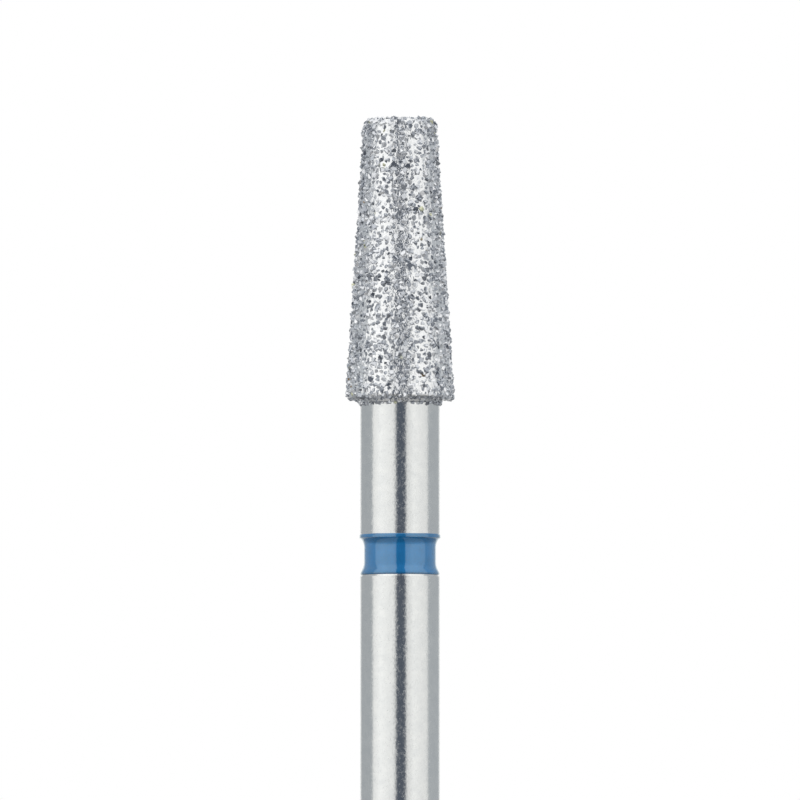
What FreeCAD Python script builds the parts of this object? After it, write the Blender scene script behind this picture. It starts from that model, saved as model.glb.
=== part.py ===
import FreeCAD, Part
import math
import os
import random

# A diamond bur for the straight handpiece: a turned steel blank, one layer of diamond
# grains plated onto its tapered head, and a lacquered colour ring in a turned groove.
# Millimetres. The bur's axis is Z, the flat end of the shank lies on Z = 0, the head is up.

# The shank
SHANK_DIAMETER = 2.35
OVERALL_LENGTH = 44.5
SHANK_END_ROUND = 0.3

# The head, measured over the grains, with its edges taken as sharp
HEAD_LENGTH = 8.3
TIP_DIAMETER = 2.16
BASE_DIAMETER = 3.22
TIP_EDGE_ROUND = 0.19
BASE_EDGE_ROUND = 0.13

# The steel core under the coating
CORE_EDGE_ROUND = 0.05

# The coating: from the steel to the tips of the grains, and the part of that which stands
# clear of the nickel
COATING_THICKNESS = 0.15
GRAIN_STANDOUT = 0.075

# The facets of the grains: the distance between their corners, how far a corner strays from
# an even place as a share of that, the share of corners that lie on a grain, and how high
# corners on the grains and in the gaps stand, as shares of the standout
FACET_SPACING = 0.135
CORNER_STRAY = 0.25
GRAIN_SHARE = 0.5
GRAIN_HEIGHTS = (0.7, 1.0)
GAP_HEIGHTS = (0.0, 0.35)
GRAIN_SEED = 31

# The collar of grains that runs from the underside of the head onto the neck
COLLAR_HEIGHT = 0.17
COLLAR_TOP_THICKNESS = 0.13
COLLAR_FOOT_THICKNESS = 0.03

# The neck and the turned groove for the colour ring
NECK_LENGTH = 4.07
GROOVE_WIDTH = 1.165
GROOVE_DEPTH = 0.155
GROOVE_UPPER_CURVE = 0.28
GROOVE_FLARE_DEGREES = 25.0
GROOVE_FLARE_RADIUS = 0.5

# The lacquer film: its thickness on the groove's floor, how much thinner it is halfway down
# the groove, its thickness at its two edges, how far it laps over the groove's upper edge,
# and how far short of the lower edge it ends
LACQUER_THICKNESS = 0.03
LACQUER_DIP = 0.004
LACQUER_EDGE_THICKNESS = 0.02
LACQUER_LAP = 0.09
LACQUER_SHORTFALL = 0.09

# Places that follow from these sizes
SHANK_RADIUS = SHANK_DIAMETER / 2
HEAD_BASE_Z = OVERALL_LENGTH - HEAD_LENGTH
COLLAR_FOOT_Z = HEAD_BASE_Z - COLLAR_HEIGHT
GROOVE_TOP_Z = HEAD_BASE_Z - NECK_LENGTH
GROOVE_BOTTOM_Z = GROOVE_TOP_Z - GROOVE_WIDTH
GROOVE_FLOOR_RADIUS = SHANK_RADIUS - GROOVE_DEPTH
FLARE_ANGLE = math.radians(GROOVE_FLARE_DEGREES)

ORIGIN = FreeCAD.Vector(0, 0, 0)
UP = FreeCAD.Vector(0, 0, 1)
FULL_TURN = 2 * math.pi


def at(radius, height):
    """A point of an outline, drawn in the XZ plane."""
    return FreeCAD.Vector(radius, 0, height)


def line(start, end):
    return Part.LineSegment(start, end).toShape()


def arc(start, middle, end):
    return Part.Arc(start, middle, end).toShape()


def turned(edges):
    """A solid of revolution from the edges of a closed outline, in order."""
    return Part.Face(Part.Wire(edges)).revolve(ORIGIN, UP, 360)


def rounded_path(corners, radii):
    """Straight runs from corner to corner, each corner between them rounded by its radius."""
    edges = []
    start = corners[0]
    for before, corner, after, radius in zip(corners, corners[1:], corners[2:], radii):
        to_before = (before - corner).normalize()
        to_after = (after - corner).normalize()
        to_centre = (to_before + to_after).normalize()
        half_angle = to_before.getAngle(to_after) / 2
        setback = radius / math.tan(half_angle)
        arc_start = corner + to_before * setback
        arc_middle = corner + to_centre * (radius / math.sin(half_angle) - radius)
        arc_end = corner + to_after * setback
        edges.append(line(start, arc_start))
        edges.append(arc(arc_start, arc_middle, arc_end))
        start = arc_end
    edges.append(line(start, corners[-1]))
    return edges


def groove_flare(low, floor_radius):
    """The lower wall of the groove, upwards: a straight flare and the hollow into the floor."""
    hollow_depth = GROOVE_FLARE_RADIUS * (1 - math.cos(FLARE_ANGLE))
    flare_rise = (low.x - floor_radius - hollow_depth) / math.tan(FLARE_ANGLE)
    hollow_start = at(floor_radius + hollow_depth, low.z + flare_rise)
    hollow_end = at(floor_radius, hollow_start.z + GROOVE_FLARE_RADIUS * math.sin(FLARE_ANGLE))
    hollow_middle = at(
        floor_radius + GROOVE_FLARE_RADIUS * (1 - math.cos(FLARE_ANGLE / 2)),
        hollow_end.z - GROOVE_FLARE_RADIUS * math.sin(FLARE_ANGLE / 2))
    return [line(low, hollow_start), arc(hollow_start, hollow_middle, hollow_end)]


def groove_upper_curve(floor_radius, high):
    """The upper wall of the groove: one arc from the floor out to the sharp upper edge."""
    depth = high.x - floor_radius
    radius = (depth ** 2 + GROOVE_UPPER_CURVE ** 2) / (2 * depth)
    sweep = math.atan2(GROOVE_UPPER_CURVE, radius - depth)
    start = at(floor_radius, high.z - GROOVE_UPPER_CURVE)
    middle = at(
        floor_radius + radius * (1 - math.cos(sweep / 2)),
        start.z + radius * math.sin(sweep / 2))
    return arc(start, middle, high)


def groove_path(low, floor_radius, high, dip):
    """The groove's outline, from its lower edge up; the floor dips halfway, or is straight."""
    flare, hollow = groove_flare(low, floor_radius)
    upper_curve = groove_upper_curve(floor_radius, high)
    floor_low = hollow.Vertexes[-1].Point
    floor_high = upper_curve.Vertexes[0].Point
    if dip > 0:
        middle = (floor_low + floor_high) / 2 - at(dip, 0)
        floor = arc(floor_low, middle, floor_high)
    else:
        floor = line(floor_low, floor_high)
    return [flare, hollow, floor, upper_curve]


def head_corners(inset):
    """The tip and base corners of the head's outline, moved in from the grain tips by an inset."""
    slope = (BASE_DIAMETER - TIP_DIAMETER) / 2 / HEAD_LENGTH
    side_inset = inset * math.hypot(1, slope)
    tip_radius = TIP_DIAMETER / 2 + slope * inset - side_inset
    base_radius = BASE_DIAMETER / 2 - slope * inset - side_inset
    return at(tip_radius, OVERALL_LENGTH - inset), at(base_radius, HEAD_BASE_Z + inset)


def inner_round(outer_round, inset):
    """The rounding of an edge that lies an inset inside a rounded edge."""
    return max(outer_round - inset, CORE_EDGE_ROUND)


def core_path():
    """The steel of the head, from the tip's centre down to the neck."""
    tip, base = head_corners(COATING_THICKNESS)
    tip_round = inner_round(TIP_EDGE_ROUND, COATING_THICKNESS)
    base_round = inner_round(BASE_EDGE_ROUND, COATING_THICKNESS)
    return rounded_path([at(0, tip.z), tip, base, at(SHANK_RADIUS, base.z)], [tip_round, base_round])


def steel_blank():
    """The blank, turned in one piece: shank, groove, neck and the core of the head."""
    groove_low = at(SHANK_RADIUS, GROOVE_BOTTOM_Z)
    groove_high = at(SHANK_RADIUS, GROOVE_TOP_Z)
    shank = rounded_path([ORIGIN, at(SHANK_RADIUS, 0), groove_low], [SHANK_END_ROUND])
    groove = groove_path(groove_low, GROOVE_FLOOR_RADIUS, groove_high, 0)
    neck = line(groove_high, at(SHANK_RADIUS, HEAD_BASE_Z + COATING_THICKNESS))
    axis = line(at(0, OVERALL_LENGTH - COATING_THICKNESS), ORIGIN)
    return turned(shank + groove + [neck] + core_path()[::-1] + [axis])


def colour_ring():
    """The lacquer film that lines the groove and laps over its upper edge."""
    steel_low = at(
        SHANK_RADIUS - LACQUER_SHORTFALL * math.tan(FLARE_ANGLE),
        GROOVE_BOTTOM_Z + LACQUER_SHORTFALL)
    steel_high = at(SHANK_RADIUS, GROOVE_TOP_Z)
    steel = groove_path(steel_low, GROOVE_FLOOR_RADIUS, steel_high, 0)

    out_of_flare = at(math.cos(FLARE_ANGLE), math.sin(FLARE_ANGLE))
    film_low = steel_low + out_of_flare * LACQUER_EDGE_THICKNESS
    film_radius = SHANK_RADIUS + LACQUER_EDGE_THICKNESS
    film_high = at(film_radius, GROOVE_TOP_Z - LACQUER_EDGE_THICKNESS)
    film_floor_radius = GROOVE_FLOOR_RADIUS + LACQUER_THICKNESS
    film = groove_path(film_low, film_floor_radius, film_high, LACQUER_DIP)

    lap_z = GROOVE_TOP_Z + LACQUER_LAP
    lap = [
        line(film_high, at(film_radius, lap_z)),
        line(at(film_radius, lap_z), at(SHANK_RADIUS, lap_z)),
        line(at(SHANK_RADIUS, lap_z), steel_high),
    ]
    return turned([line(steel_low, film_low)] + film + lap + steel[::-1])


def coating_path(inset):
    """The coating's outline from the tip's centre to the collar's foot, below the grain tips."""
    tip, base = head_corners(inset)
    collar_top = at(SHANK_RADIUS + COLLAR_TOP_THICKNESS - inset, base.z)
    collar_foot = at(SHANK_RADIUS + COLLAR_FOOT_THICKNESS, COLLAR_FOOT_Z)
    tip_round = inner_round(TIP_EDGE_ROUND, inset)
    base_round = inner_round(BASE_EDGE_ROUND, inset)
    corners = [at(0, tip.z), tip, base, collar_top, collar_foot]
    return Part.Wire(rounded_path(corners, [tip_round, base_round, CORE_EDGE_ROUND]))


def facet_row(row, nickel, tips, dice):
    """One row of facet corners round the head, between the nickel and the grain tips.

    Each corner is a pair of its angle and its point. Every other row is turned by half a
    step, so that the facets between two rows are near to even triangles."""
    count = max(1, round(FULL_TURN * tips.x / FACET_SPACING))
    half_step = row % 2 / 2
    corners = []
    for place in range(count):
        stray = dice.uniform(-CORNER_STRAY, CORNER_STRAY)
        angle = FULL_TURN * (place + half_step + stray) / count
        on_grain = dice.random() < GRAIN_SHARE
        height = dice.uniform(*(GRAIN_HEIGHTS if on_grain else GAP_HEIGHTS))
        section = nickel + (tips - nickel) * height
        point = FreeCAD.Vector(section.x * math.cos(angle), section.x * math.sin(angle), section.z)
        corners.append((angle, point))
    return corners


def corner_angle(row, step):
    """The angle of a row's corner, counted on past the full turn."""
    turns, place = divmod(step, len(row))
    return row[place][0] + FULL_TURN * turns


def corner_point(row, step):
    return row[step % len(row)][1]


def closed_loop(points):
    return Part.makePolygon(points + points[:1])


def facets_between(upper, lower):
    """Triangles that join two rows, each one a step along the row that lags behind in angle."""
    facets = []
    high = 0
    low = 0
    while high < len(upper) or low < len(lower):
        corners = [corner_point(upper, high), corner_point(lower, low)]
        if low == len(lower):
            step_high = True
        elif high == len(upper):
            step_high = False
        else:
            step_high = corner_angle(upper, high + 1) < corner_angle(lower, low + 1)
        if step_high:
            high += 1
            corners.append(corner_point(upper, high))
        else:
            low += 1
            corners.append(corner_point(lower, low))
        single_point_row = corners[2] in corners[:2]
        if not single_point_row:
            facets.append(Part.Face(closed_loop(corners)))
    return facets


def grain_rows():
    """The rows of facet corners, from the tip's centre to the collar's foot."""
    tips = coating_path(0)
    nickel = coating_path(GRAIN_STANDOUT)
    row_count = round(tips.Length / (FACET_SPACING * math.sin(math.pi / 3)))
    sections = zip(nickel.discretize(Number=row_count), tips.discretize(Number=row_count))
    dice = random.Random(GRAIN_SEED)
    return [facet_row(row, *section, dice) for row, section in enumerate(sections)]


def in_sectors(outline, count):
    """An outline turned round the axis as a ring of equal sectors."""
    sector = outline.revolve(ORIGIN, UP, 360 / count)
    return [sector.rotated(ORIGIN, UP, 360 * step / count) for step in range(count)]


def diamond_coating():
    """The grains in their nickel: a faceted skin outside, the form of the steel core inside.

    The inner side is in as many sectors as the foot has facets, because the wall is so thin
    that both sides have to be equally fine in a mesh."""
    rows = grain_rows()
    skin = []
    for upper, lower in zip(rows, rows[1:]):
        skin += facets_between(upper, lower)

    sector_count = len(rows[-1])
    foot_start = at(SHANK_RADIUS, COLLAR_FOOT_Z)
    neck = line(at(SHANK_RADIUS, HEAD_BASE_Z + COATING_THICKNESS), foot_start)
    inner_side = []
    for sector in in_sectors(Part.Wire(core_path() + [neck]), sector_count):
        inner_side += sector.Faces

    foot_outline = closed_loop([point for angle, point in rows[-1]])
    foot_hole = Part.Wire(in_sectors(Part.Vertex(foot_start), sector_count))
    foot = Part.Face([foot_outline, foot_hole])
    return Part.Solid(Part.Shell(skin + [foot] + inner_side))


os.makedirs("parts", exist_ok=True)
for build_piece in (steel_blank, diamond_coating, colour_ring):
    build_piece().exportStep(f"parts/{build_piece.__name__}.step")
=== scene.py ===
import math
import random

import bpy
from mathutils import Matrix, Vector, noise


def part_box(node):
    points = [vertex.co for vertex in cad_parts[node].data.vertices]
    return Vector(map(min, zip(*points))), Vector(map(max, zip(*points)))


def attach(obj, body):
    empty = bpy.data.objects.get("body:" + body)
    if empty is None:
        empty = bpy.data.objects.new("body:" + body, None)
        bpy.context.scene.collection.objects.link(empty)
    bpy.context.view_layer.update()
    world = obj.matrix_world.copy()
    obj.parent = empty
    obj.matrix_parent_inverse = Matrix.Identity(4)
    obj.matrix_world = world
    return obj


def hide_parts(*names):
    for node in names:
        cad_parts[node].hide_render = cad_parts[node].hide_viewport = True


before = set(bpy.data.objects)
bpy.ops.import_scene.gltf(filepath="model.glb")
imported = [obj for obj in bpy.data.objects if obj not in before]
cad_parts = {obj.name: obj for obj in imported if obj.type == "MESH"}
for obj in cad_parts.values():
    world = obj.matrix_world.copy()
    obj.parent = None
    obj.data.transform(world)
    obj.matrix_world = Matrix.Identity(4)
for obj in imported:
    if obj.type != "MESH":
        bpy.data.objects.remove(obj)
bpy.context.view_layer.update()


# The steel blank: one rod of stainless steel, turned and then ground. It has a straight shank
# with a rounded end, a groove for the colour ring, a plain neck, and a tapered core that the
# head's grains cover. It was tumbled after grinding, so its surface is finely pebbled.

# All lengths are in metres.
TURNED_STEPS = 192
CORNER_STEPS = 8
SHANK_RADIUS = 0.001175
SHANK_END_ROUND = 0.0003
HEAD_LENGTH = 0.0083
COATING_THICKNESS = 0.00015
CORE_BASE_RADIUS = 0.00144
CORE_TIP_RADIUS = 0.00094
NECK_LENGTH = 0.00407
GROOVE_WIDTH = 0.001165
GROOVE_DEPTH = 0.000155
GROOVE_CURVE = 0.00028
GROOVE_FLARE = math.radians(25)
GROOVE_HOLLOW = 0.0005
STEEL_CREASE = math.radians(20)

bur_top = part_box("diamond_coating")[1].z
head_base = bur_top - HEAD_LENGTH
groove_top = head_base - NECK_LENGTH
groove_bottom = groove_top - GROOVE_WIDTH


def at(radius, height):
    """A point of a turned outline, on the bur's right-hand side."""
    return Vector((radius, 0, height))


def rounded(corners, rounds):
    """An outline from corner to corner, each corner between the ends swept by its own radius."""
    outline = [corners[0]]
    for before, corner, after, radius in zip(corners, corners[1:], corners[2:], rounds):
        to_before = (before - corner).normalized()
        to_after = (after - corner).normalized()
        half_angle = to_before.angle(to_after) / 2
        centre = corner + (to_before + to_after).normalized() * radius / math.sin(half_angle)
        start = corner + to_before * radius / math.tan(half_angle) - centre
        end = corner + to_after * radius / math.tan(half_angle) - centre
        for step in range(CORNER_STEPS + 1):
            outward = start.slerp(end, step / CORNER_STEPS).normalized()
            outline.append(centre + outward * radius)
    outline.append(corners[-1])
    return outline


def groove_outline(edge_radius, floor_radius, low, high):
    """The groove from its lower edge up: a flare, a hollow, the floor and the upper curve."""
    hollow_depth = GROOVE_HOLLOW * (1 - math.cos(GROOVE_FLARE))
    hollow_low = low + (edge_radius - floor_radius - hollow_depth) / math.tan(GROOVE_FLARE)
    hollow_high = hollow_low + GROOVE_HOLLOW * math.sin(GROOVE_FLARE)
    outline = [at(edge_radius, low)]
    for step in range(CORNER_STEPS + 1):
        angle = GROOVE_FLARE * (1 - step / CORNER_STEPS)
        outline.append(at(
            floor_radius + GROOVE_HOLLOW * (1 - math.cos(angle)),
            hollow_high - GROOVE_HOLLOW * math.sin(angle)))
    depth = edge_radius - floor_radius
    curve = (depth ** 2 + GROOVE_CURVE ** 2) / (2 * depth)
    sweep = math.asin(GROOVE_CURVE / curve)
    for step in range(CORNER_STEPS + 1):
        angle = sweep * step / CORNER_STEPS
        outline.append(at(
            floor_radius + curve * (1 - math.cos(angle)),
            high - GROOVE_CURVE + curve * math.sin(angle)))
    return outline


def begin_turning(name, point, fill="NGON"):
    """A flat disc on the bur's axis, or a bare ring with no fill, selected and ready to be
    drawn up into a turned piece."""
    bpy.ops.object.select_all(action="DESELECT")
    bpy.ops.mesh.primitive_circle_add(vertices=TURNED_STEPS, radius=point.x, fill_type=fill)
    piece = bpy.context.object
    piece.name = name
    bpy.ops.object.mode_set(mode="EDIT")
    bpy.ops.mesh.select_all(action="SELECT")
    bpy.ops.transform.translate(value=(0, 0, point.z))
    return piece


def draw_along(outline):
    """Extrudes the selected disc or ring from each point of an outline to the next."""
    for start, end in zip(outline, outline[1:]):
        bpy.ops.mesh.extrude_region_move(TRANSFORM_OT_translate={"value": (0, 0, end.z - start.z)})
        widening = end.x / start.x
        bpy.ops.transform.resize(value=(widening, widening, 1), center_override=(0, 0, end.z))


shank_outline = rounded(
    [at(SHANK_RADIUS / 2, 0), at(SHANK_RADIUS, 0), at(SHANK_RADIUS, groove_bottom)],
    [SHANK_END_ROUND])
floor_radius = SHANK_RADIUS - GROOVE_DEPTH
core_base = head_base + COATING_THICKNESS
core_tip = bur_top - COATING_THICKNESS
steel_outline = (
    shank_outline
    + groove_outline(SHANK_RADIUS, floor_radius, groove_bottom, groove_top)[1:]
    + [at(SHANK_RADIUS, core_base), at(CORE_BASE_RADIUS, core_base), at(CORE_TIP_RADIUS, core_tip)])

steel_blank = begin_turning("steel_blank_turned", steel_outline[0])
draw_along(steel_outline)
bpy.ops.object.mode_set(mode="OBJECT")
bpy.ops.object.shade_smooth_by_angle(angle=STEEL_CREASE)


def new_material(name):
    """A material with its node tree, its shader, and the object's own coordinates."""
    material = bpy.data.materials.new(name)
    material.use_nodes = True
    tree = material.node_tree
    shader = tree.nodes["Principled BSDF"]
    place = tree.nodes.new("ShaderNodeTexCoord").outputs["Object"]
    return material, tree, shader, place


def stretched(tree, place, scale):
    """The object's coordinates, scaled on each axis."""
    mapping = tree.nodes.new("ShaderNodeMapping")
    mapping.inputs["Scale"].default_value = scale
    tree.links.new(place, mapping.inputs["Vector"])
    return mapping.outputs["Vector"]


def noise_height(tree, place, size, detail=2.0, roughness=0.5):
    """A noise pattern whose lumps are about as wide as the size."""
    texture = tree.nodes.new("ShaderNodeTexNoise")
    texture.inputs["Scale"].default_value = 1 / size
    texture.inputs["Detail"].default_value = detail
    texture.inputs["Roughness"].default_value = roughness
    tree.links.new(place, texture.inputs["Vector"])
    return texture.outputs["Fac"]


def ranged(tree, value, low, high, start=0.3, end=0.7):
    """A pattern's values from start to end, spread over another range."""
    spread = tree.nodes.new("ShaderNodeMapRange")
    spread.inputs["From Min"].default_value = start
    spread.inputs["From Max"].default_value = end
    spread.inputs["To Min"].default_value = low
    spread.inputs["To Max"].default_value = high
    tree.links.new(value, spread.inputs["Value"])
    return spread.outputs["Result"]


def blended(tree, amount, first, second):
    """A colour that goes from the first to the second with the amount."""
    mix = tree.nodes.new("ShaderNodeMix")
    mix.data_type = "RGBA"
    mix.inputs[6].default_value = (*first, 1)
    mix.inputs[7].default_value = (*second, 1)
    tree.links.new(amount, mix.inputs[0])
    return mix.outputs[2]


def bumped(tree, height, depth, normal=None):
    """A bump of that depth, on top of another bump if one is given."""
    bump = tree.nodes.new("ShaderNodeBump")
    bump.inputs["Distance"].default_value = depth
    tree.links.new(height, bump.inputs["Height"])
    if normal:
        tree.links.new(normal, bump.inputs["Normal"])
    return bump.outputs["Normal"]


# The pebbles and waves are drawn out a little along the rod.
DRAWN_OUT = (1, 1, 0.6)
PEBBLE_SIZE = 0.00005
PEBBLE_DEPTH = 0.0000018
PEBBLE_SHARES = (0.45, 0.68)
STEEL_ROUGHNESS = (0.11, 0.30)
WAVE_SIZE = 0.0004
WAVE_DEPTH = 0.0000012
MOTTLE_SIZE = 0.00025
STEEL_TONES = ((0.75, 0.765, 0.76), (0.82, 0.83, 0.815))

ground_steel, tree, shader, place = new_material("ground_steel")
drawn = stretched(tree, place, DRAWN_OUT)
mottle = noise_height(tree, place, MOTTLE_SIZE, detail=4)
steel_tone = blended(tree, ranged(tree, mottle, 0, 1), *STEEL_TONES)
tree.links.new(steel_tone, shader.inputs["Base Color"])
pebbles = noise_height(tree, drawn, PEBBLE_SIZE, detail=3, roughness=0.6)
steel_roughness = ranged(tree, pebbles, *STEEL_ROUGHNESS, *PEBBLE_SHARES)
tree.links.new(steel_roughness, shader.inputs["Roughness"])
shader.inputs["Metallic"].default_value = 1.0
waves = bumped(tree, noise_height(tree, drawn, WAVE_SIZE), WAVE_DEPTH)
tree.links.new(bumped(tree, pebbles, PEBBLE_DEPTH, waves), shader.inputs["Normal"])

steel_blank.data.materials.append(ground_steel)
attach(steel_blank, "root")
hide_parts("steel_blank")


# The colour ring: a film of blue lacquer, brushed into the turned groove while the bur spins
# and then baked. It lines the groove, laps a little over the upper edge, and stops short of
# the lower one.

LACQUER_THICKNESS = 0.00004
LACQUER_EDGE_THICKNESS = 0.00002
LACQUER_LAP = 0.00009
LACQUER_SHORTFALL = 0.00006
LACQUER_BEAD = 0.000045
LACQUER_WANDER = 0.00001
WANDER_LENGTH = 0.0005
LACQUER_CREASE = math.radians(50)
JOINED_WITHIN = 1e-8

# How each rim rounds off: shares of the edge's thickness and of the bead's height.
LOWER_RIM = [(0.5, 0), (0.9, 0.4)]
UPPER_RIM = [(1, 1), (0.6, 0.3), (0, 0)]

film_low_radius = SHANK_RADIUS - LACQUER_SHORTFALL * math.tan(GROOVE_FLARE)
film_low = groove_bottom + LACQUER_SHORTFALL
lap_top = groove_top + LACQUER_LAP
under_lap = groove_top - LACQUER_EDGE_THICKNESS
film_inside = groove_outline(film_low_radius, floor_radius, film_low, groove_top)
film_outside = groove_outline(
    film_low_radius + LACQUER_EDGE_THICKNESS,
    floor_radius + LACQUER_THICKNESS,
    film_low + LACQUER_BEAD,
    under_lap)
film_outside[-1] = at(SHANK_RADIUS + LACQUER_EDGE_THICKNESS, under_lap)
lower_rim = [
    at(film_low_radius + LACQUER_EDGE_THICKNESS * thickness, film_low + LACQUER_BEAD * rise)
    for thickness, rise in LOWER_RIM]
upper_rim = [
    at(SHANK_RADIUS + LACQUER_EDGE_THICKNESS * thickness, lap_top - LACQUER_BEAD * drop)
    for thickness, drop in UPPER_RIM]
film_outline = film_inside[:1] + lower_rim + film_outside + upper_rim + film_inside[:0:-1]

colour_ring = begin_turning("colour_ring_lacquer", film_outline[0], fill="NOTHING")
draw_along(film_outline + film_outline[:1])
bpy.ops.mesh.select_all(action="SELECT")
bpy.ops.mesh.remove_doubles(threshold=JOINED_WITHIN)
bpy.ops.mesh.normals_make_consistent(inside=False)
bpy.ops.object.mode_set(mode="OBJECT")
for vertex in colour_ring.data.vertices:
    if vertex.co.z > groove_top + LACQUER_EDGE_THICKNESS:
        vertex.co.z += LACQUER_WANDER * noise.noise(vertex.co / WANDER_LENGTH)
bpy.ops.object.shade_smooth_by_angle(angle=LACQUER_CREASE)


def graded(tree, value, low, high, stops):
    """A colour along a value from low to high, in straight runs between stops: each stop is a
    place on the way, a brightness and a tint."""
    ramp = tree.nodes.new("ShaderNodeValToRGB")
    tree.links.new(ranged(tree, value, 0, 1, low, high), ramp.inputs["Fac"])
    elements = ramp.color_ramp.elements
    while len(elements) < len(stops):
        elements.new(1)
    for element, (position, brightness, tint) in zip(elements, stops):
        element.position = (position - low) / (high - low)
        element.color = (*[brightness * part for part in tint], 1)
    return ramp.outputs["Color"]


def multiplied(tree, first, second):
    """One colour times another."""
    mix = tree.nodes.new("ShaderNodeMix")
    mix.data_type = "RGBA"
    mix.blend_type = "MULTIPLY"
    mix.inputs[0].default_value = 1
    tree.links.new(first, mix.inputs[6])
    tree.links.new(second, mix.inputs[7])
    return mix.outputs[2]


# The lacquer runs into the curve under the groove's upper edge and into its own lower rim. It is
# painted darker there, partly because it has pooled and partly as painted shade in the curve and
# along the rim.
PLAIN = (1, 1, 1)
LACQUER_POOLS_AND_SHADE = [
    (film_low, 0.55, PLAIN), (film_low + 0.00003, 0.6, PLAIN), (film_low + 0.00007, 1, PLAIN),
    (groove_top - 0.00021, 1, PLAIN), (groove_top - 0.00015, 0.72, PLAIN),
    (groove_top - 0.00002, 0.65, PLAIN), (groove_top + 0.00003, 0.9, PLAIN)]
LACQUER_TONES = ((0.004, 0.17, 0.45), (0.008, 0.205, 0.545))
CLOUD_SIZE = 0.0003
RIPPLE_SIZE = 0.00025
RIPPLE_DEPTH = 0.0000006

blue_lacquer, tree, shader, place = new_material("blue_lacquer")
clouds = noise_height(tree, place, CLOUD_SIZE, detail=3)
lacquer_tone = blended(tree, ranged(tree, clouds, 0, 1), *LACQUER_TONES)
axes = tree.nodes.new("ShaderNodeSeparateXYZ")
tree.links.new(place, axes.inputs[0])
# Darker bands up the film: pooled lacquer together with painted shade.
pooled_and_shaded = graded(tree, axes.outputs["Z"], film_low, lap_top, LACQUER_POOLS_AND_SHADE)
tree.links.new(multiplied(tree, lacquer_tone, pooled_and_shaded), shader.inputs["Base Color"])
shader.inputs["Metallic"].default_value = 0.12
shader.inputs["Roughness"].default_value = 0.2
shader.inputs["Specular Tint"].default_value = (0.2, 1.0, 0.6, 1)
shader.inputs["Coat Weight"].default_value = 1.0
shader.inputs["Coat Roughness"].default_value = 0.03
shader.inputs["Coat IOR"].default_value = 2.0
ripple = bumped(tree, noise_height(tree, place, RIPPLE_SIZE), RIPPLE_DEPTH)
tree.links.new(ripple, shader.inputs["Coat Normal"])

colour_ring.data.materials.append(blue_lacquer)
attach(colour_ring, "root")
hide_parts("colour_ring")


# The nickel bond: bright nickel, plated round the grains to hold them. It covers the head's
# flat end, sides and underside, and creeps a little way down the neck as a thin collar.

TIP_RADIUS = 0.00108
BASE_RADIUS = 0.00161
TIP_ROUND = 0.00019
BASE_ROUND = 0.00003
BASE_INSET_SHARE = 0.55
COLLAR_HEIGHT = 0.00013
COLLAR_TOP_THICKNESS = 0.00013
COLLAR_FOOT_THICKNESS = 0.000015
COLLAR_ROUND = 0.00003
AXIS_GAP = 0.00001
ROUNDING_SLACK = 1e-9

head_slope = (BASE_RADIUS - TIP_RADIUS) / HEAD_LENGTH
slope_length = math.hypot(1, head_slope)


def head_outline(inset):
    """The head's outline from the collar's foot up to the flat end, inset from the grain tips.
    The underside is inset less than the sides, so that its grains reach the head's base."""
    side_inset = inset * slope_length
    base_inset = inset * BASE_INSET_SHARE
    return rounded(
        [
            at(SHANK_RADIUS + COLLAR_FOOT_THICKNESS, head_base - COLLAR_HEIGHT),
            at(SHANK_RADIUS + COLLAR_TOP_THICKNESS - inset, head_base + base_inset),
            at(BASE_RADIUS - head_slope * base_inset - side_inset, head_base + base_inset),
            at(TIP_RADIUS + head_slope * inset - side_inset, bur_top - inset),
            at(AXIS_GAP, bur_top - inset),
        ],
        [COLLAR_ROUND, BASE_ROUND, TIP_ROUND - inset / 2])


def evenly_spaced(outline, pitch):
    """Points at an even pitch along an outline, each with its direction outwards."""
    lengths = [(end - start).length for start, end in zip(outline, outline[1:])]
    count = round(sum(lengths) / pitch)
    spacing = sum(lengths) / count
    points = []
    travelled = 0
    for start, end, length in zip(outline, outline[1:], lengths):
        while len(points) * spacing <= travelled + length + ROUNDING_SLACK:
            share = (len(points) * spacing - travelled) / length
            along = (end - start).normalized()
            points.append((start.lerp(end, share), Vector((along.z, 0, -along.x))))
        travelled += length
    return points


BOND_INSET = 0.000048
BOND_PITCH = 0.00006
LUMP_SIZE = 0.0001
LUMP_HEIGHT = 0.000018

bond_outline = [point for point, out in evenly_spaced(head_outline(BOND_INSET), BOND_PITCH)]
nickel_bond = begin_turning("nickel_bond", bond_outline[0])
draw_along(bond_outline)
bpy.ops.object.mode_set(mode="OBJECT")
outwards = [vertex.normal.copy() for vertex in nickel_bond.data.vertices]
for vertex, out in zip(nickel_bond.data.vertices, outwards):
    vertex.co += out * LUMP_HEIGHT * noise.noise(vertex.co / LUMP_SIZE)
bpy.ops.object.shade_smooth()

NICKEL_TONES = ((0.84, 0.855, 0.87), (0.97, 0.975, 0.97))
NICKEL_GRAIN_SIZE = 0.00004
NICKEL_GRAIN_DEPTH = 0.000006
DIMPLE_SIZE = 0.00009
DIMPLE_DEPTH = 0.00002

bright_nickel, tree, shader, place = new_material("bright_nickel")
nickel_grain = noise_height(tree, place, NICKEL_GRAIN_SIZE)
nickel_tone = blended(tree, ranged(tree, nickel_grain, 0, 1), *NICKEL_TONES)
tree.links.new(nickel_tone, shader.inputs["Base Color"])
shader.inputs["Metallic"].default_value = 1.0
shader.inputs["Roughness"].default_value = 0.15
dimples = bumped(tree, noise_height(tree, place, DIMPLE_SIZE), DIMPLE_DEPTH)
tree.links.new(bumped(tree, nickel_grain, NICKEL_GRAIN_DEPTH, dimples), shader.inputs["Normal"])

nickel_bond.data.materials.append(bright_nickel)
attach(nickel_bond, "root")
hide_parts("diamond_coating")


# The diamond grains: one layer of medium grit, sieved to about an eighth of a millimetre.
# They are broken crystals with flat faces and sharp corners, clear to grey, each sunk to a
# little more than half its size in the nickel.

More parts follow.
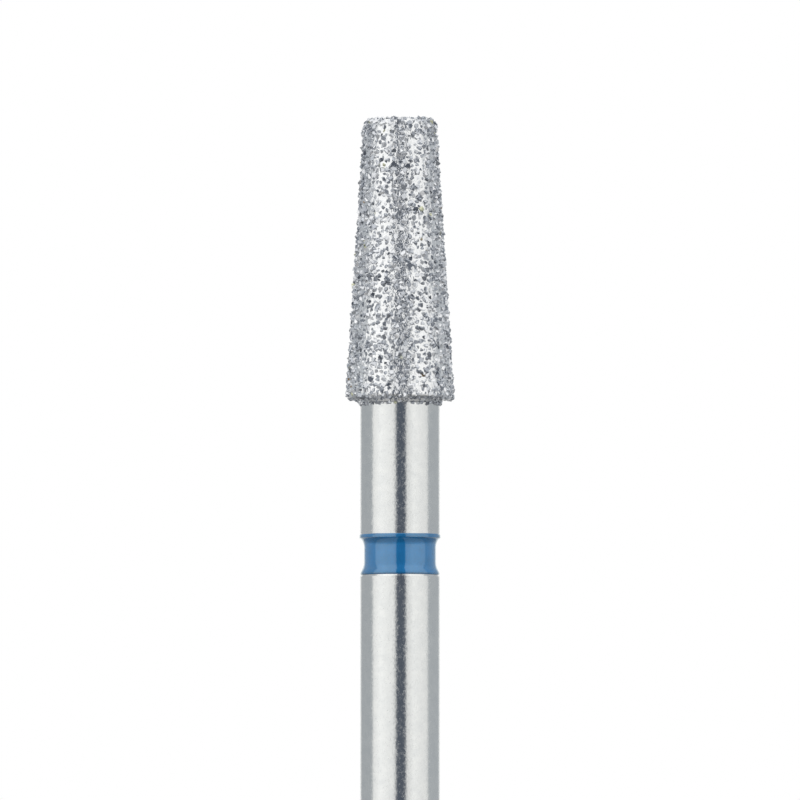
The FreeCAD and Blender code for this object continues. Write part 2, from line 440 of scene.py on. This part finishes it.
CRYSTAL_SHAPES = 14
CRYSTAL_CUTS = 9
CUT_DISTANCES = (0.36, 0.52)
GRAIN_SIZE = 0.000135
GRAIN_SIZES = (0.6, 1.15)
GRAIN_INSET = 0.00006
GRAIN_HEIGHTS = (-0.00002, 0.000004)
GRAIN_PITCH = 0.00015
GRAIN_STRAY = 0.35
COLLAR_GRAIN = 0.75
GRAIN_SEED = 7
grain_dice = random.Random(GRAIN_SEED)


def random_direction():
    """A direction taken evenly from all round."""
    height = grain_dice.uniform(-1, 1)
    angle = grain_dice.uniform(0, math.tau)
    across = math.sqrt(1 - height * height)
    return Vector((across * math.cos(angle), across * math.sin(angle), height))


def broken_crystal():
    """The corners and faces of a block one unit wide, cleaved from all sides by flat cuts."""
    bpy.ops.object.select_all(action="DESELECT")
    bpy.ops.mesh.primitive_cube_add(size=1)
    bpy.ops.object.mode_set(mode="EDIT")
    for cut in range(CRYSTAL_CUTS):
        facing = random_direction()
        distance = grain_dice.uniform(*CUT_DISTANCES)
        bpy.ops.mesh.select_all(action="SELECT")
        bpy.ops.mesh.bisect(
            plane_co=facing * distance, plane_no=facing, use_fill=True, clear_outer=True)
    bpy.ops.object.mode_set(mode="OBJECT")
    crystal = bpy.context.object
    corners = [vertex.co.copy() for vertex in crystal.data.vertices]
    faces = [tuple(face.vertices) for face in crystal.data.polygons]
    bpy.data.objects.remove(crystal)
    return corners, faces


def stray():
    """How far a grain lies from an even place, as a share of the pitch."""
    return grain_dice.uniform(-GRAIN_STRAY, GRAIN_STRAY)


def random_turn():
    """A turn that leaves a crystal facing any way."""
    spin = Matrix.Rotation(grain_dice.uniform(0, math.tau), 3, "Z")
    return random_direction().to_track_quat("Z", "Y").to_matrix() @ spin


# The grains lie in rings round the head, each ring half a pitch on from the one below, and
# those of the collar are smaller and closer.
crystals = [broken_crystal() for shape in range(CRYSTAL_SHAPES)]
corners = []
faces = []
tones = []
row_pitch = GRAIN_PITCH * math.sin(math.radians(60))
for row, (bed_point, bed_out) in enumerate(evenly_spaced(head_outline(GRAIN_INSET), row_pitch)):
    share = COLLAR_GRAIN if bed_point.z < head_base else 1
    count = max(1, round(math.tau * bed_point.x / (GRAIN_PITCH * share)))
    up_the_bed = Vector((-bed_out.z, 0, bed_out.x))
    for step in range(count):
        angle = math.tau * (step + row % 2 / 2 + stray()) / count
        height = grain_dice.uniform(*GRAIN_HEIGHTS)
        centre = bed_point + up_the_bed * stray() * row_pitch + bed_out * height
        centre = Matrix.Rotation(angle, 3, "Z") @ centre
        size = GRAIN_SIZE * grain_dice.uniform(*GRAIN_SIZES) * share
        turn = random_turn()
        shape_corners, shape_faces = grain_dice.choice(crystals)
        first = len(corners)
        corners += [centre + turn @ corner * size for corner in shape_corners]
        faces += [[first + corner for corner in face] for face in shape_faces]
        tones += [grain_dice.random()] * len(shape_faces)

grain_mesh = bpy.data.meshes.new("diamond_grains")
grain_mesh.from_pydata(corners, [], faces)
grain_mesh.attributes.new("tone", "FLOAT", "FACE").data.foreach_set("value", tones)
diamond_grains = bpy.data.objects.new("diamond_grains", grain_mesh)
bpy.context.scene.collection.objects.link(diamond_grains)

# A few grains in a thousand are brown and one in a hundred is yellow. The rest run from smoky
# through grey to clear.
BROWN = (0.34, 0.24, 0.15)
YELLOW = (0.72, 0.73, 0.52)
SMOKY = (0.26, 0.28, 0.32)
GREY = (0.56, 0.59, 0.64)
CLEAR = (0.97, 0.98, 1.0)
GRAIN_TONES = [
    (0, 1, BROWN), (0.004, 1, BROWN), (0.005, 1, YELLOW), (0.016, 1, YELLOW),
    (0.017, 1, SMOKY), (0.25, 1, GREY), (1, 1, CLEAR)]

diamond, tree, shader, place = new_material("diamond")
tone = tree.nodes.new("ShaderNodeAttribute")
tone.attribute_name = "tone"
tree.links.new(graded(tree, tone.outputs["Fac"], 0, 1, GRAIN_TONES), shader.inputs["Base Color"])
shader.inputs["Roughness"].default_value = 0.08
shader.inputs["Metallic"].default_value = 0.7
shader.inputs["IOR"].default_value = 2.4
shader.inputs["Transmission Weight"].default_value = 0.3
diamond_grains.data.materials.append(diamond)
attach(diamond_grains, "root")
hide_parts("diamond_coating")


# The floor: a plain pale disc under the bur's flat end, which fades out before its rim. It
# takes the bur's shadow and stays out of all reflections, where the tent's foot shows instead.

FLOOR_RADIUS = 0.3
FLOOR_STEPS = 96
FLOOR_TONE = (0.85, 0.85, 0.85, 1)
FADES_FROM = 0.08
FADED_AT = 0.28

bpy.ops.object.select_all(action="DESELECT")
bpy.ops.mesh.primitive_circle_add(vertices=FLOOR_STEPS, radius=FLOOR_RADIUS, fill_type="NGON")
floor = bpy.context.object
floor.name = "floor"
pale_floor, tree, shader, place = new_material("pale_floor")
shader.inputs["Base Color"].default_value = FLOOR_TONE
shader.inputs["Roughness"].default_value = 0.9
distance = tree.nodes.new("ShaderNodeVectorMath")
distance.operation = "LENGTH"
tree.links.new(place, distance.inputs[0])
fade = ranged(tree, distance.outputs["Value"], 0, 1, FADED_AT, FADES_FROM)
tree.links.new(fade, shader.inputs["Alpha"])
floor.data.materials.append(pale_floor)
floor.visible_glossy = False


# The light: a tent of white cloth round the bur. It has bright panels left and right of the
# camera, a dark gap between them where the camera looks in, grey cloth at the sides and white
# behind, a dimmer foot, and a roof.

CLOTH = (1.0, 1.0, 0.995)
SHADE = (0.96, 1.01, 1.06)
GAP = (0.80, 0.94, 1.20)

# Round the tent, each stop is a bearing from the camera in degrees, a brightness and a tint.
TENT = [
    (-180, 0.95, CLOTH), (-156, 0.95, CLOTH), (-150, 0.45, SHADE), (-88, 0.46, SHADE),
    (-84, 0.93, CLOTH), (-59, 1.10, CLOTH), (-22, 0.96, CLOTH), (-13.5, 0.82, CLOTH),
    (-10.5, 0.12, GAP), (15.5, 0.12, GAP), (18.5, 0.82, CLOTH), (39, 1.03, CLOTH),
    (79, 0.90, CLOTH), (86, 0.85, CLOTH), (91, 0.48, SHADE), (150, 0.47, SHADE),
    (156, 0.95, CLOTH), (180, 0.95, CLOTH)]

# Up the tent, each stop is a height, from -1 straight down to 1 straight up, and its share.
HEIGHTS = [
    (-1, 0.34, PLAIN), (-0.8, 0.36, PLAIN), (-0.5, 0.50, PLAIN), (-0.35, 0.58, PLAIN),
    (-0.2, 1.0, PLAIN), (0.4, 1.0, PLAIN), (0.55, 1.14, PLAIN), (1, 1.14, PLAIN)]
ROOF = (1.05, 1.05, 1.05)
ROOF_FROM = 0.82
ROOF_FULL = 0.90


def reckoned(tree, operation, *values):
    """A number worked out from others, each a socket or a plain number."""
    node = tree.nodes.new("ShaderNodeMath")
    node.operation = operation
    for value, socket in zip(values, node.inputs):
        if isinstance(value, bpy.types.NodeSocket):
            tree.links.new(value, socket)
        else:
            socket.default_value = value
    return node.outputs[0]


def covered(tree, amount, pattern, colour):
    """A pattern that gives way to one plain colour with the amount."""
    mix = tree.nodes.new("ShaderNodeMix")
    mix.data_type = "RGBA"
    mix.inputs[7].default_value = (*colour, 1)
    tree.links.new(amount, mix.inputs[0])
    tree.links.new(pattern, mix.inputs[6])
    return mix.outputs[2]


world = bpy.data.worlds.new("light_tent")
bpy.context.scene.world = world
world.use_nodes = True
tree = world.node_tree
background = tree.nodes["Background"]
direction = tree.nodes.new("ShaderNodeSeparateXYZ")
tree.links.new(tree.nodes.new("ShaderNodeTexCoord").outputs["Generated"], direction.inputs[0])

# The bearing is 0 towards the camera and grows to the right of the picture.
to_camera = reckoned(tree, "MULTIPLY", direction.outputs["Y"], -1)
bearing = reckoned(tree, "ARCTAN2", direction.outputs["X"], to_camera)
around_tent = graded(tree, reckoned(tree, "DEGREES", bearing), -180, 180, TENT)
up_tent = graded(tree, direction.outputs["Z"], -1, 1, HEIGHTS)
tent = multiplied(tree, around_tent, up_tent)
roof_share = ranged(tree, direction.outputs["Z"], 0, 1, ROOF_FROM, ROOF_FULL)
roofed = covered(tree, roof_share, tent, ROOF)

# The camera, and rays that pass through the grains, see plain white in place of the tent.
# The metal and the lacquer reflect the tent itself.
rays = tree.nodes.new("ShaderNodeLightPath")
straight = reckoned(
    tree, "MAXIMUM", rays.outputs["Is Camera Ray"], rays.outputs["Is Transmission Ray"])
tree.links.new(covered(tree, straight, roofed, PLAIN), background.inputs["Color"])


# The camera: a long lens a little below the middle of its picture. It looks up at the head
# and the ring, and leaves the lower part of the shank out.

CAMERA_DISTANCE = 0.36
CAMERA_BELOW = math.radians(2.7)
VIEW_WIDTH = 0.023589
VIEW_CENTRE = Vector((0, 0, 0.036185))
SENSOR_WIDTH = 36

line_of_sight = Vector((0, math.cos(CAMERA_BELOW), math.sin(CAMERA_BELOW)))
bpy.ops.object.camera_add(
    location=VIEW_CENTRE - CAMERA_DISTANCE * line_of_sight,
    rotation=(math.radians(90) + CAMERA_BELOW, 0, 0))
camera = bpy.context.object
camera.data.sensor_width = SENSOR_WIDTH
camera.data.lens = SENSOR_WIDTH * CAMERA_DISTANCE / VIEW_WIDTH
camera.data.clip_start = 0.001
camera.data.clip_end = 100
bpy.context.scene.camera = camera
bpy.context.scene.view_settings.view_transform = "Standard"
